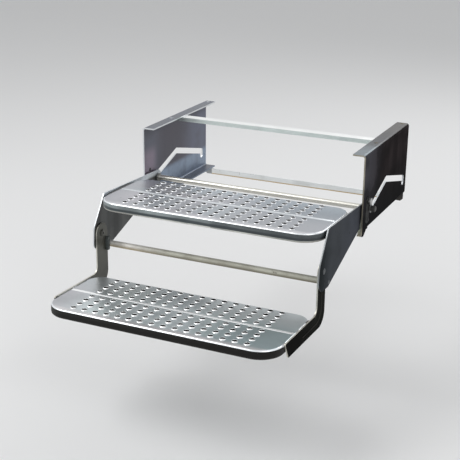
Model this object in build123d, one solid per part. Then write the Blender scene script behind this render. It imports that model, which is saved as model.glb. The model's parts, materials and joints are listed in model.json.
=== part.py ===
from build123d import *
import os
from math import atan2, cos, degrees, hypot, radians, sin

# Manual double step for a caravan door, modelled unfolded, as it stands in use.
# X runs across the doorway, Y runs from the street under the vehicle, Z is up.
# The origin is the centre of the four fixing holes, on top of the bracket flanges.

# Side brackets, folded from sheet, with the cam slot in the web
sheet = 3.0
bend_inside = 3.0
frame_width = 500.0
bracket_length = 300.0
bracket_height = 160.0
flange_width = 27.0
bottom_flange_start = 34.0
lobe_drop = 10.0
lobe_nose = 3.5
lobe_foot = 10.0
lobe_back = 26.0
lobe_flange_width = 12.0

# Fixing holes in the top flanges
fixing_hole = 9.0
fixing_edge = 13.0
first_hole_from_front = 106.0
last_hole_from_rear = 10.0

# Cam slot, from the ends of the bracket and up from its bottom
slot_width = 13.0
shaft_from_front = 46.0
shaft_above_bottom = 39.0
ramp_run = 102.0
ramp_rise = 35.0
slot_end_from_rear = 24.0
level_fall = 32.0
hook_fall = 10.0

# Cross bars between the brackets
top_bar_from_front = 133.0
top_bar_depth = 22.0
top_bar_height = 9.0
rear_bar_height = 13.5
rear_bar_ear_width = 17.0
rear_bar_ear_rise = 5.0
rear_bar_lip = 8.0
rear_bar_corner = 5.0

# Glide block in each bracket's front corner, with its strap, bolt and rivet
glide_from_front = 2.0
glide_length = 32.0
glide_foot_length = 20.0
glide_foot_width = 4.2
glide_nose = 9.0
glide_block_height = 53.0
glide_corner = 4.0
clamp_width = 14.0
clamp_sheet = 2.5
clamp_corner = 4.0
clamp_from_front = 24.0
bolt_above_bottom = 61.0
bolt_diameter = 8.0
bolt_head_flats = 13.0
bolt_head_height = 5.3
bolt_washer_diameter = 17.0
bolt_washer_thickness = 1.6
rivet_above_bottom = 21.6
rivet_diameter = 5.0
rivet_head_diameter = 9.0
rivet_head_height = 2.2
head_slope = 30.0

# Sliding shaft and what holds it
shaft_diameter = 12.0
shaft_reach = 12.0
shaft_chamfer = 1.0
spacer_diameter = 20.0
collar_diameter = 18.0
collar_width = 3.3
ring_diameter = 18.0
ring_width = 1.5
side_play = 0.2

# Upper step: cheeks, tread and stop bar
cheek_gap = 4.0
cheek_front_top = 178.0
cheek_front_radius = 5.0
cheek_top_above_shaft = 25.8
cheek_top_fall = 10.3
cheek_rear_reach = 15.0
cheek_rear_radius = 13.0
cheek_toe_from_front = 172.0
cheek_toe_below_bottom = 54.0
cheek_toe_radius = 4.0
cheek_knee_ahead = 23.0
cheek_knee_above = 16.0
cheek_knee_radius = 20.0
cheek_heel_ahead = 27.0
cheek_heel_below = 22.0
cheek_heel_radius = 14.0
cheek_sole_ahead = 9.0
cheek_sole_rise = 1.0
cheek_sole_radius = 8.0
pivot_from_front = 197.0
pivot_below_bottom = 14.0
stop_bar_diameter = 13.0
stop_bar_back = 27.0
stop_bar_below = 31.0
stop_spigot_diameter = 8.0
stop_spigot_proud = 1.0

# Treads, two pressings of the same pattern
tread_depth = 192.0
tread_sheet = 2.0
skirt_height = 18.3
skirt_lip = 8.0
tread_edge_roll = 3.0
front_corner = 47.0
rear_corner = 32.0
hole_columns = 16
hole_rows = 4
column_pitch = 23.76
middle_gap = 30.2
first_row_from_front = 21.0
last_row_from_rear = 11.8
hole_sides = 6
hole_across = 9.0
bead_radius = 4.0
bead_height = 1.2
bead_margin = 2.5
weld_gap = 3.3
weld_start = 57.0
weld_length = 87.0
weld_height = 3.5
upper_tread_ahead = 25.4
lower_tread_ahead = 30.1
upper_tread_above = 75.6
lower_tread_below = 74.9
upper_pitch = 1.2
lower_pitch = 1.8

# Arms of the lower step, with their pivots and stop blocks
arm_clearance = 0.3
arm_head_radius = 20.5
arm_head_corner = 20.0
arm_tip_radius = 3.0
arm_bar_height = 33.0
arm_nose_reach = 177.0
arm_nose_slant = 18.0
arm_proud = 1.5
arm_inner_bend = 14.0
arm_outer_bend = 28.0
groove_width = 7.0
groove_depth = 1.2
groove_start = 40.0
groove_end = 92.0
groove_rise = 2.0
pivot_diameter = 10.0
pivot_head_diameter = 14.0
pivot_head_height = 2.4
pivot_rivet_diameter = 12.0
pivot_rivet_height = 1.0
stop_block_height = 29.0
stop_block_width = 5.5
stop_block_depth = 7.5
stop_block_top = 12.5
stop_block_corner = 1.5
stop_screw_diameter = 4.0
stop_screw_head_diameter = 6.5
stop_screw_head_height = 1.2

# Flats that small round pieces and hidden shanks are drawn with
small_round_sides = 14
shank_sides = 8

# Clearances, and how far a cutting tool runs past a face
running_clearance = 0.08
rest_gap = 0.3
fit_gap = 0.02
overcut = 3.0

# Planes and places that the sizes above give
half_width = frame_width / 2
web_inside = half_width - sheet
cheek_outside = web_inside - cheek_gap
cheek_inside = cheek_outside - sheet
arm_outside = cheek_inside - arm_clearance
arm_inside = arm_outside - sheet
fixing_pitch = bracket_length - first_hole_from_front - last_hole_from_rear
front = -(first_hole_from_front + fixing_pitch / 2)
rear = front + bracket_length
bottom = -bracket_height
shaft_y = front + shaft_from_front
shaft_z = bottom + shaft_above_bottom
level_run = bracket_length - shaft_from_front - ramp_run - slot_end_from_rear
ramp_angle = degrees(atan2(ramp_rise, ramp_run))
ramp_slope = ramp_rise / ramp_run
pivot_y = front - pivot_from_front
pivot_z = bottom - pivot_below_bottom
stop_bar_y = pivot_y + stop_bar_back
stop_bar_z = pivot_z - stop_bar_below
toe_y = front - cheek_toe_from_front
toe_z = bottom - cheek_toe_below_bottom
clamp_y = front + clamp_from_front
bolt_z = bottom + bolt_above_bottom
rivet_z = bottom + rivet_above_bottom
lobe_z = bottom - lobe_drop
glide_face = cheek_outside + (cheek_gap - sheet)
strap_seat = half_width + clamp_sheet
row_pitch = (tread_depth - first_row_from_front - last_row_from_rear - middle_gap) / (2 * (hole_rows - 1))
bead_from_front = first_row_from_front + (hole_rows - 1) * row_pitch + middle_gap / 2
arm_back = stop_bar_y - stop_bar_diameter / 2 - rest_gap


def side_plate(corners, inside_face, thickness):
    """A flat plate standing along Y, from corners (y, z, corner radius), on the right-hand side."""
    outline = make_face(Polyline(*[(y, z) for y, z, radius in corners], close=True))
    for y, z, radius in corners:
        if radius > 0:
            corner = outline.vertices().sort_by_distance((y, z, 0))[0]
            outline = fillet(corner, radius)
    return extrude(Plane.YZ.offset(inside_face) * outline, amount=thickness)


def stadium(start, end, width):
    """A round-ended slot outline between two centres given as (y, z)."""
    run = end[0] - start[0]
    rise = end[1] - start[1]
    middle = ((start[0] + end[0]) / 2, (start[1] + end[1]) / 2)
    slot = SlotCenterToCenter(hypot(run, rise), width)
    return Pos(*middle) * Rot(0, 0, degrees(atan2(rise, run))) * slot


def across(diameter, from_x, to_x, y, z):
    """A round bar along X between two planes."""
    bar = Rot(0, 90, 0) * Cylinder(diameter / 2, to_x - from_x)
    return Pos((from_x + to_x) / 2, y, z) * bar


def block(x0, x1, y0, y1, z0, z1):
    """A rectangular block between three pairs of planes."""
    return Pos((x0 + x1) / 2, (y0 + y1) / 2, (z0 + z1) / 2) * Box(x1 - x0, y1 - y0, z1 - z0)


def left_of(part):
    """The left-hand twin of a right-hand piece."""
    return mirror(part, about=Plane.YZ)


def pair(part):
    """A right-hand piece with its left-hand twin, as two separate solids."""
    return Compound(children=[*part.solids(), *left_of(part).solids()])


def cheek_edge(y):
    """Height of the cheek's sloping lower edge, which runs parallel to the slot's ramp."""
    return toe_z + (y - toe_y) * ramp_slope


def flatted(sides, diameter, from_x, to_x, y, z, slope=0):
    """A short round piece along X drawn with flats, narrowing towards its far end by the slope."""
    piece = extrude(RegularPolygon(diameter / 2, sides), amount=abs(to_x - from_x), taper=slope)
    turn = 90 if to_x > from_x else -90
    return Pos(from_x, y, z) * Rot(0, turn, 0) * piece


def shank(diameter, from_x, to_x, y, z):
    """A fastener's hidden shank, or the hole that it fills."""
    return flatted(shank_sides, diameter, from_x, to_x, y, z)


def small_round(diameter, from_x, to_x, y, z):
    """A washer, ring or riveted end."""
    return flatted(small_round_sides, diameter, from_x, to_x, y, z)


def low_head(seat, diameter, height, y, z):
    """A low round head with sloping sides on the plane X = seat, towards -X when height is negative."""
    return flatted(small_round_sides, diameter, seat, seat + height, y, z, head_slope)


def bracket_section():
    """C-shaped section of a side bracket, open towards the middle."""
    outer = Pos(half_width - flange_width / 2, bottom / 2) * Rectangle(flange_width, bracket_height)
    inner = Pos(web_inside - flange_width / 2, bottom / 2) * Rectangle(flange_width, bracket_height - 2 * sheet)
    section = outer - inner
    for z in (0, bottom):
        corner = section.vertices().sort_by_distance((half_width, z, 0))[0]
        section = fillet(corner, bend_inside + sheet)
    for z in (-sheet, bottom + sheet):
        corner = section.vertices().sort_by_distance((web_inside, z, 0))[0]
        section = fillet(corner, bend_inside)
    return section


def cam_slot():
    """The slot in the web: a ramp, a run that falls gently to the rear, and a short hook down."""
    foot = (shaft_y, shaft_z)
    peak = (shaft_y + ramp_run, shaft_z + ramp_rise)
    back = (peak[0] + level_run, peak[1] - level_fall)
    hook = (back[0], back[1] - hook_fall)
    outline = stadium(foot, peak, slot_width) + stadium(peak, back, slot_width) + stadium(back, hook, slot_width)
    return extrude(Plane.YZ.offset(web_inside - overcut) * outline, amount=sheet + 2 * overcut)


def right_bracket():
    """Right side bracket, one folded sheet, with the lobe below its front corner."""
    body = extrude(Plane.XZ.offset(-front) * bracket_section(), amount=-bracket_length)
    open_from = bottom + bend_inside + sheet
    body -= block(0, half_width, front, front + bottom_flange_start, bottom, open_from)
    body += side_plate([
        (front, open_from, 0),
        (front, lobe_z + lobe_nose, 0),
        (front + lobe_nose, lobe_z, 0),
        (front + lobe_foot, lobe_z, 0),
        (front + lobe_back, bottom, 0),
        (front + bottom_flange_start, bottom, 0),
        (front + bottom_flange_start, open_from, 0),
    ], web_inside, sheet)
    body += block(half_width - lobe_flange_width, web_inside, front + lobe_nose, front + lobe_foot,
                  lobe_z, lobe_z + sheet)
    body -= cam_slot()
    for y in (-fixing_pitch / 2, fixing_pitch / 2):
        body -= Pos(half_width - fixing_edge, y, 0) * Cylinder(fixing_hole / 2, 2 * (sheet + overcut))
    body -= shank(bolt_diameter, web_inside - overcut, half_width + overcut, clamp_y, bolt_z)
    body -= shank(rivet_diameter, web_inside - overcut, half_width + overcut, clamp_y, rivet_z)
    return body


def top_cross_bar():
    """Angle bar welded under the top flanges, its front leg turned down."""
    near = front + top_bar_from_front
    bar = block(-web_inside, web_inside, near, near + top_bar_depth, -2 * sheet, -sheet)
    bar += block(-web_inside, web_inside, near, near + sheet, -sheet - top_bar_height, -sheet)
    relief = bend_inside + rest_gap
    for side in (-1, 1):
        middle = side * (web_inside - relief / 2)
        bar -= Pos(middle, near + top_bar_depth / 2, -sheet - relief / 2) * Box(
            relief, 2 * top_bar_depth, relief)
    return bar


def rear_cross_bar():
    """Angle bar hung below the bottom flanges by an ear at each end."""
    top = bottom - rear_bar_ear_rise
    foot = top - rear_bar_height
    ear_start = web_inside - rear_bar_ear_width
    half = [
        (0, top),
        (ear_start, top),
        (ear_start, bottom),
        (web_inside, bottom),
        (web_inside, foot + rear_bar_corner),
        (web_inside - rear_bar_corner, foot),
        (0, foot),
    ]
    plate = make_face(Polyline(*half, close=True))
    right = extrude(Plane.XZ.offset(-rear) * plate, amount=sheet)
    lip_end = web_inside - rear_bar_corner
    right += block(0, lip_end, rear - sheet, rear + rear_bar_lip, foot, foot + sheet)
    return right + left_of(right)


def right_glide_block():
    """Moulded block: a wall between web and cheek, and a foot that carries the cheek's lower edge."""
    start = front + glide_from_front
    foot_end = start + glide_foot_length
    base = lobe_z + sheet
    top = bottom + glide_block_height
    wall = side_plate([
        (start, base, 0),
        (front + lobe_foot, base, 0),
        (front + lobe_back, bottom, 0),
        (start + glide_length, bottom + sheet, 0),
        (start + glide_length, top - glide_corner, 0),
        (start + glide_length - glide_corner, top, 0),
        (clamp_y - clamp_width / 2, top, 0),
        (start, cheek_edge(start) + glide_nose, 0),
    ], glide_face, web_inside - glide_face)
    drop = rest_gap / cos(radians(ramp_angle))
    foot = side_plate([
        (start, base, 0),
        (front + lobe_foot, base, 0),
        (foot_end, base + lobe_drop, 0),
        (foot_end, cheek_edge(foot_end) - drop, 0),
        (start, cheek_edge(start) - drop, 0),
    ], glide_face - glide_foot_width, glide_foot_width)
    return wall + foot - shank(rivet_diameter, cheek_inside, half_width, clamp_y, rivet_z)


def right_clamp_strap():
    """Flat strap outside the web, under the bolt and the glide block's rivet."""
    reach = clamp_width / 2
    strap = block(half_width, strap_seat, clamp_y - reach, clamp_y + reach, rivet_z - reach, bolt_z + reach)
    strap = chamfer(strap.edges().filter_by(Axis.X), clamp_corner)
    strap -= shank(bolt_diameter, half_width - overcut, strap_seat + overcut, clamp_y, bolt_z)
    strap -= shank(rivet_diameter, half_width - overcut, strap_seat + overcut, clamp_y, rivet_z)
    return strap


def right_glide_bolt():
    """Hex bolt through the strap into the web, with its washer in one piece."""
    washer_face = strap_seat + bolt_washer_thickness
    bolt = shank(bolt_diameter - 2 * fit_gap, web_inside, strap_seat, clamp_y, bolt_z)
    bolt += small_round(bolt_washer_diameter, strap_seat, washer_face, clamp_y, bolt_z)
    hexagon = RegularPolygon(bolt_head_flats / 2, 6, major_radius=False)
    head_plane = Plane.YZ.offset(washer_face)
    return bolt + extrude(head_plane * Pos(clamp_y, bolt_z) * hexagon, amount=bolt_head_height)


def right_glide_rivet():
    """Rivet at the lower end of the strap, with a low head."""
    rivet = shank(rivet_diameter - 2 * fit_gap, glide_face, strap_seat, clamp_y, rivet_z)
    return rivet + low_head(strap_seat, rivet_head_diameter, rivet_head_height, clamp_y, rivet_z)


def slide_shaft():
    """Round shaft that carries the upper step and rides in both cam slots."""
    reach = half_width + shaft_reach
    shaft = across(shaft_diameter, -reach, reach, shaft_y, shaft_z)
    ends = shaft.edges().filter_by(GeomType.CIRCLE)
    return chamfer(ends, shaft_chamfer)


def shaft_sleeve(diameter, from_x, to_x):
    """A ring on the right-hand end of the shaft."""
    ring = small_round(diameter, from_x, to_x, shaft_y, shaft_z)
    bore = (shaft_diameter + 2 * fit_gap) / cos(radians(180 / small_round_sides))
    return ring - small_round(bore, from_x - overcut, to_x + overcut, shaft_y, shaft_z)


def right_cheek():
    """Side plate of the upper step, from the shaft down to the lower step's pivot."""
    rear_end = shaft_y + cheek_rear_reach
    top = shaft_z + cheek_top_above_shaft
    corners = [
        (front - cheek_front_top, top, cheek_front_radius),
        (rear_end, top - cheek_top_fall, cheek_rear_radius),
        (rear_end, cheek_edge(rear_end), cheek_rear_radius),
        (toe_y, toe_z, cheek_toe_radius),
        (pivot_y - cheek_sole_ahead, toe_z + cheek_sole_rise, cheek_sole_radius),
        (pivot_y - cheek_heel_ahead, pivot_z - cheek_heel_below, cheek_heel_radius),
        (pivot_y - cheek_knee_ahead, pivot_z + cheek_knee_above, cheek_knee_radius),
    ]
    plate = side_plate(corners, cheek_inside, sheet)
    bore = shaft_diameter + 2 * running_clearance
    plate -= across(bore, cheek_inside - overcut, cheek_outside + overcut, shaft_y, shaft_z)
    plate -= small_round(pivot_diameter, cheek_inside - overcut, cheek_outside + overcut, pivot_y, pivot_z)
    spigot = stop_spigot_diameter
    return plate - shank(spigot, cheek_inside - overcut, cheek_outside + overcut, stop_bar_y, stop_bar_z)


def stop_bar():
    """Round bar between the cheeks that the arms come to rest on, with riveted spigots."""
    bar = across(stop_bar_diameter, -cheek_inside, cheek_inside, stop_bar_y, stop_bar_z)
    reach = cheek_outside + stop_spigot_proud
    return bar + shank(stop_spigot_diameter - 2 * fit_gap, -reach, reach, stop_bar_y, stop_bar_z)


def right_step_pivot():
    """Headed pin riveted through the cheek, on which the right arm turns."""
    head_seat = arm_inside - rest_gap
    rivet_face = cheek_outside + pivot_rivet_height
    pin = small_round(pivot_diameter - 2 * fit_gap, head_seat, cheek_outside, pivot_y, pivot_z)
    pin += small_round(pivot_rivet_diameter, cheek_outside, rivet_face, pivot_y, pivot_z)
    return pin + low_head(head_seat, pivot_head_diameter, -pivot_head_height, pivot_y, pivot_z)


def tread_outline(width, inset):
    """Plan of a tread, its front edge on Y = 0, drawn inside the edge by the inset."""
    plan = Pos(0, tread_depth / 2) * Rectangle(width - 2 * inset, tread_depth - 2 * inset)
    back = plan.vertices().sort_by(Axis.Y)[2:]
    plan = fillet(back, rear_corner - inset)
    near = plan.vertices().sort_by(Axis.Y)[:2]
    return fillet(near, front_corner - inset)


def tread_hole_places():
    """Centres of the holes: two bands of rows with the bead between them."""
    across_all = (hole_columns - 1) * column_pitch
    for band in range(2):
        band_start = first_row_from_front + band * ((hole_rows - 1) * row_pitch + middle_gap)
        for row in range(hole_rows):
            for column in range(hole_columns):
                yield column * column_pitch - across_all / 2, band_start + row * row_pitch


def tread(width):
    """Pressed tread with a turned-in skirt, a long bead and its field of holes."""
    pan = extrude(Pos(0, 0, -skirt_height) * tread_outline(width, 0), amount=skirt_height)
    pan = chamfer(pan.faces().sort_by(Axis.Z)[-1].edges(), tread_edge_roll)
    pan -= extrude(Pos(0, 0, tread_sheet - skirt_height) * tread_outline(width, tread_sheet),
                   amount=skirt_height - 2 * tread_sheet)
    pan -= extrude(Pos(0, 0, -skirt_height) * tread_outline(width, skirt_lip), amount=tread_sheet)
    bead = across(2 * bead_radius, bead_margin - width / 2, width / 2 - bead_margin, bead_from_front,
                  bead_height - bead_radius)
    pan += bead & block(-width, width, 0, tread_depth, -tread_sheet / 2, bead_height)
    hole = Pos(0, 0, -2 * tread_sheet) * extrude(RegularPolygon(hole_across / 2, hole_sides),
                                                 amount=4 * tread_sheet)
    return pan - [Pos(x, y, 0) * hole for x, y in tread_hole_places()]


def upper_tread():
    """The upper tread with the two weld seams that join it to the cheeks, its rear edge a little low."""
    side = cheek_inside - weld_gap
    pressing = tread(2 * side)
    weld_top = -tread_edge_roll / 2
    for flank in (-1, 1):
        pressing += Pos(flank * (side + weld_gap / 2 - tread_sheet / 4), weld_start + weld_length / 2,
                        weld_top - weld_height / 2) * Box(weld_gap + tread_sheet / 2, weld_length, weld_height)
    place = Pos(0, pivot_y - upper_tread_ahead, pivot_z + upper_tread_above) * Rot(-upper_pitch, 0, 0)
    return place * pressing


def lower_tread():
    """The lower tread, welded between the arms."""
    nose = pivot_y - lower_tread_ahead - tread_depth
    place = Pos(0, nose, pivot_z - lower_tread_below) * Rot(-lower_pitch, 0, 0)
    return place * tread(2 * arm_inside)


def tread_top(y):
    """Height of the lower tread's top at a place along Y."""
    nose = pivot_y - lower_tread_ahead - tread_depth
    return pivot_z - lower_tread_below - (y - nose) * sin(radians(lower_pitch))


def right_arm():
    """L-shaped arm of the lower step, with a pressed groove round its bend."""
    nose = pivot_y - arm_nose_reach
    arm_front = pivot_y - arm_head_radius
    head_top = pivot_z + arm_head_radius
    top_nose = tread_top(nose) + arm_proud
    top_back = tread_top(arm_front) + arm_proud
    corners = [
        (arm_front, head_top, arm_head_corner),
        (arm_back, head_top, arm_head_corner),
        (arm_back, top_back - arm_bar_height, arm_outer_bend),
        (nose + arm_nose_slant, top_nose - arm_bar_height, arm_tip_radius),
        (nose, top_nose, arm_tip_radius),
        (arm_front, top_back, arm_inner_bend),
    ]
    arm = side_plate(corners, arm_inside, sheet)
    bore = pivot_diameter + 2 * running_clearance
    arm -= across(bore, arm_inside - overcut, arm_outside + overcut, pivot_y, pivot_z)
    middle = (arm_front + arm_back) / 2
    low = top_back - arm_bar_height / 2
    path = FilletPolyline((middle, pivot_z - groove_start), (middle, low),
                          (pivot_y - groove_end, low + groove_rise),
                          radius=(arm_inner_bend + arm_outer_bend) / 2)
    groove = trace(path, line_width=groove_width)
    return arm - extrude(Plane.YZ.offset(arm_outside - groove_depth) * groove, amount=groove_depth + overcut)


def right_stop_block():
    """Block on the arm's inner face that spreads the load where the arm meets the stop bar."""
    top = pivot_z - stop_block_top
    base = top - stop_block_height
    body = block(arm_inside - stop_block_width, arm_inside, arm_back - stop_block_depth, arm_back, base, top)
    body = chamfer(body.edges().filter_by(Axis.X), stop_block_corner)
    return body - shank(stop_screw_diameter, arm_inside - stop_block_width - overcut, arm_inside + overcut,
                        arm_back - stop_block_depth / 2, top - stop_block_height / 2)


def right_stop_screw():
    """Screw that holds the stop block to the arm."""
    middle_y = arm_back - stop_block_depth / 2
    middle_z = pivot_z - stop_block_top - stop_block_height / 2
    face = arm_inside - stop_block_width
    screw = shank(stop_screw_diameter - 2 * fit_gap, face, arm_inside, middle_y, middle_z)
    return screw + low_head(face, stop_screw_head_diameter, -stop_screw_head_height, middle_y, middle_z)


def shaft_rings():
    """The three kinds of ring on the shaft, each as a pair."""
    spacer_end = web_inside - side_play
    ring_start = half_width + 2 * side_play
    collar_end = cheek_inside - side_play
    return {
        "shaft_spacers": pair(shaft_sleeve(spacer_diameter, cheek_outside + side_play, spacer_end)),
        "shaft_collars": pair(shaft_sleeve(collar_diameter, collar_end - collar_width, collar_end)),
        "shaft_retaining_rings": pair(shaft_sleeve(ring_diameter, ring_start, ring_start + ring_width)),
    }


def both_sides(name, part):
    """A right-hand piece and its twin, as two nodes."""
    return {"right_" + name: part, "left_" + name: left_of(part)}


def all_parts():
    parts = {}
    parts.update(both_sides("bracket", right_bracket()))
    parts["top_cross_bar"] = top_cross_bar()
    parts["rear_cross_bar"] = rear_cross_bar()
    parts.update(both_sides("glide_block", right_glide_block()))
    parts.update(both_sides("clamp_strap", right_clamp_strap()))
    parts["glide_bolts"] = pair(right_glide_bolt())
    parts["glide_rivets"] = pair(right_glide_rivet())
    parts["slide_shaft"] = slide_shaft()
    parts.update(shaft_rings())
    parts.update(both_sides("cheek", right_cheek()))
    parts["upper_tread"] = upper_tread()
    parts["stop_bar"] = stop_bar()
    parts.update(both_sides("step_pivot", right_step_pivot()))
    parts["lower_tread"] = lower_tread()
    parts.update(both_sides("arm", right_arm()))
    parts.update(both_sides("stop_block", right_stop_block()))
    parts["stop_block_screws"] = pair(right_stop_screw())
    return parts


os.makedirs("parts", exist_ok=True)
for name, part in all_parts().items():
    part.label = name
    export_step(part, f"parts/{name}.step")
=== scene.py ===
import bmesh
import bpy
import json
from math import cos, radians, sin, tan
from mathutils import Matrix, Vector


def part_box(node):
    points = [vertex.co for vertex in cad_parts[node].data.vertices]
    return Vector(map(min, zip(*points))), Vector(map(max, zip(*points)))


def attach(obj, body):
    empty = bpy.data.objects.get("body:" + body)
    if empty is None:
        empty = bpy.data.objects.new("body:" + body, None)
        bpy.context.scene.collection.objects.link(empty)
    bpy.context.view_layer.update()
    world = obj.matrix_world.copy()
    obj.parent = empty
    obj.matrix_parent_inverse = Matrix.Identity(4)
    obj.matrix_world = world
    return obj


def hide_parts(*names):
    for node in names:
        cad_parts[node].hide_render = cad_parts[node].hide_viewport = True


# A manual double step for a caravan door, standing unfolded in a plain studio.
# Lengths are in metres, in the same frame as the solids: X to the right, Y under the vehicle, Z up.

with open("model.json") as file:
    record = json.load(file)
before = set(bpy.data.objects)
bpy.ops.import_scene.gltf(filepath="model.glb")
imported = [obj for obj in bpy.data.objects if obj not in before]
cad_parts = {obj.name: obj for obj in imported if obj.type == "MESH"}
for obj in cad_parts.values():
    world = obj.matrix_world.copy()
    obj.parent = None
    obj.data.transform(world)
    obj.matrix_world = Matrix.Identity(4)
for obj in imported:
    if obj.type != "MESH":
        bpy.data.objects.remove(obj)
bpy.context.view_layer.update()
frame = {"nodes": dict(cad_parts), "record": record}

bodies = frame["record"]["behaviour"]["bodies"]
body_of = {node: body for body, nodes in bodies.items() for node in nodes}


def low(node):
    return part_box(node)[0]


def high(node):
    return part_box(node)[1]


def centre(node):
    return (low(node) + high(node)) / 2


# The brackets' sheet and the lobe below their front corner, then places read from the solids
sheet = 0.003
lobe_depth = 0.010
web_outside = high("right_bracket").x
web_inside = web_outside - sheet
bracket_bottom = low("right_bracket").z + lobe_depth
web_front = low("right_bracket").y
web_rear = high("right_bracket").y
cheek_outside = high("right_cheek").x
cheek_inside = low("right_cheek").x
arm_inside = low("right_arm").x
arm_foot = low("right_arm").z
strap_seat = high("right_clamp_strap").x
shaft = centre("slide_shaft")
shaft_end = high("slide_shaft").x
stop_bar = centre("stop_bar")
pivot = centre("right_step_pivot")
bolt = centre("glide_bolts")
rivet = centre("glide_rivets")
stop_screw = centre("stop_block_screws")

# Treads: sizes of the pressing, and where each is set down as (front edge, height, pitch)
tread_width = 2 * arm_inside
tread_depth = 0.192
skirt_height = 0.0183
tread_sheet = 0.0009
front_corner = 0.047
rear_corner = 0.032
edge_roll = 0.004
lip_roll = 0.003
lip_width = 0.008
upper_nose = pivot.y - 0.0254
upper_top = pivot.z + 0.0756
upper_pitch = radians(1.2)
upper_seat = (upper_nose, upper_top, upper_pitch)
lower_nose = pivot.y - 0.0301 - tread_depth
lower_top = pivot.z - 0.0749
lower_pitch = radians(1.8)
lower_seat = (lower_nose, lower_top, lower_pitch)

# Two bands of holes; the rings of a rim are (radius, height)
hole_columns = 16
hole_rows = 4
column_pitch = 0.02376
row_pitch = 0.0215
first_row = 0.021
band_length = (hole_rows - 1) * row_pitch
band_gap = 0.0302
band_step = band_length + band_gap
cell_half = 0.0078
rim_sides = 14
rim_rings = [(0.0068, 0.0), (0.0059, 0.0010), (0.0053, 0.0013), (0.0050, 0.0009), (0.0049, -0.0020)]

# The bead between the bands; its lines are (offset along Y, height)
bead_place = first_row + band_length + band_gap / 2
bead_lines = [(-0.0040, 0.0), (-0.0022, 0.0009), (0.0, 0.0012), (0.0022, 0.0009), (0.0040, 0.0)]
bead_reach = 0.0045
bead_end = 0.0065

# Lengths too short to matter, and limits for one part of a face's normal
hair = 0.00005
same_vertex = 0.00001
same_tread_vertex = 0.00003
same_ring_vertex = 0.000002
flat_side = 0.9999
level_face = 0.999
end_face = 0.9
facing = 0.7
steep = 0.5


# ---------------------------------------------------------------- modelling by hand

def deselect():
    """Leaves edit mode and lets go of every object."""
    if bpy.context.mode != "OBJECT":
        bpy.ops.object.mode_set(mode="OBJECT")
    bpy.ops.object.select_all(action="DESELECT")


def take(piece):
    """Makes this the only selected and active object."""
    deselect()
    piece.select_set(True)
    bpy.context.view_layer.objects.active = piece


def edit(piece):
    take(piece)
    bpy.ops.object.mode_set(mode="EDIT")


def newest(name):
    """The primitive just added, named, with its place and size put into its mesh."""
    piece = bpy.context.object
    piece.name = name
    piece.data.name = name
    bpy.ops.object.transform_apply(location=True, rotation=True, scale=True)
    return piece


def middle(element):
    """Centre of an edge or face."""
    points = [corner.co for corner in element.verts]
    return sum(points, Vector()) / len(points)


def select(kind, test):
    """Selects the vertices, edges or faces of the edited piece that pass the test."""
    bpy.ops.mesh.select_mode(type=kind)
    bpy.ops.mesh.select_all(action="DESELECT")
    mesh = bmesh.from_edit_mesh(bpy.context.edit_object.data)
    elements = {"VERT": mesh.verts, "EDGE": mesh.edges, "FACE": mesh.faces}[kind]
    for element in elements:
        element.select_set(bool(test(element)))
    mesh.select_flush_mode()
    bmesh.update_edit_mesh(bpy.context.edit_object.data)


def outwards():
    """Turns every face of the edited piece outwards."""
    bpy.ops.mesh.select_all(action="SELECT")
    bpy.ops.mesh.normals_make_consistent(inside=False)


def apply(piece, kind, **settings):
    """Adds a modifier with these settings and applies it."""
    take(piece)
    modifier = piece.modifiers.new(kind.lower(), kind)
    for setting, value in settings.items():
        setattr(modifier, setting, value)
    bpy.ops.object.modifier_apply(modifier=modifier.name)


def smooth(piece, angle=35):
    """Smooth shading on the bends and rounds, and none on the flat sides."""
    take(piece)
    bpy.ops.object.shade_smooth_by_angle(angle=radians(angle))
    edit(piece)
    select("FACE", lambda face: max(abs(part) for part in face.normal) > flat_side)
    bpy.ops.mesh.faces_shade_flat()
    deselect()


def copy_of(piece, name):
    """A second object with a mesh of its own."""
    twin = piece.copy()
    twin.data = piece.data.copy()
    twin.name = name
    twin.data.name = name
    bpy.context.collection.objects.link(twin)
    return twin


def join(first, *others):
    """Joins pieces into the first."""
    take(first)
    for other in others:
        other.select_set(True)
    bpy.ops.object.join()
    return first


def moved(piece, offset=(0, 0, 0), turn=(0, 0, 0), stretch=(1, 1, 1)):
    """Turns, stretches and moves a piece and puts that into its mesh."""
    take(piece)
    piece.location = offset
    piece.rotation_euler = turn
    piece.scale = stretch
    bpy.ops.object.transform_apply(location=True, rotation=True, scale=True)
    return piece


def mirrored(piece, name):
    """The left-hand twin of a right-hand piece."""
    twin = moved(copy_of(piece, name), stretch=(-1, 1, 1))
    edit(twin)
    outwards()
    deselect()
    return twin


def both_hands(piece):
    """The piece and its left-hand twin as one object."""
    return join(piece, mirrored(piece, piece.name + "_left"))


def paint(piece, finishes, choose=None):
    """Gives a piece its finishes; choose picks one by number from a face's middle and normal."""
    piece.data.materials.clear()
    for finish in finishes:
        piece.data.materials.append(finish)
    if choose:
        for face in piece.data.polygons:
            face.material_index = choose(face.center, face.normal)


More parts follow.
